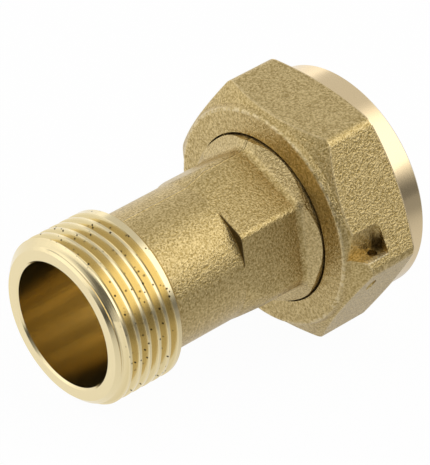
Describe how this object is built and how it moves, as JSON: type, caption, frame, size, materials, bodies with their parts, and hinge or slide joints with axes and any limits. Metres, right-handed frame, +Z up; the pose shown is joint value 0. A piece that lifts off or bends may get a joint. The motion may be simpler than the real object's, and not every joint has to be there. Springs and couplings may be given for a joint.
{
  "type": "water meter union",
  "caption": "Forged brass water meter union: threaded tailpiece with a wrench hexagon, a loose captive hexagonal union nut with a seal-wire notch, and a flat gasket inside.",
  "frame": {"origin": "on the table, under the middle of the box around the union as it lies at rest", "axes": "+X from the threaded end towards the nut, level with the table; +Y across; +Z up. The union's own axis leans up from +X by 7.38 degrees"},
  "size_m": [0.0584, 0.0416, 0.0378],
  "materials": {
    "tail_brass": "shot-blasted forging, machined thread and bore",
    "nut_brass": "shot-blasted forging, machined skirt",
    "gasket_rubber": "matt"
  },
  "bodies": {
    "tail": {"tailpiece": "tail_brass", "gasket": "gasket_rubber"},
    "nut": {"union_nut": "nut_brass"}
  },
  "joints": [
    {"name": "nut_spin", "type": "hinge", "parent": "tail", "child": "nut", "pos_m": [0.01386, 0, 0.01831], "axis": [0.9917, 0, 0.1285], "continuous": true}
  ]
}
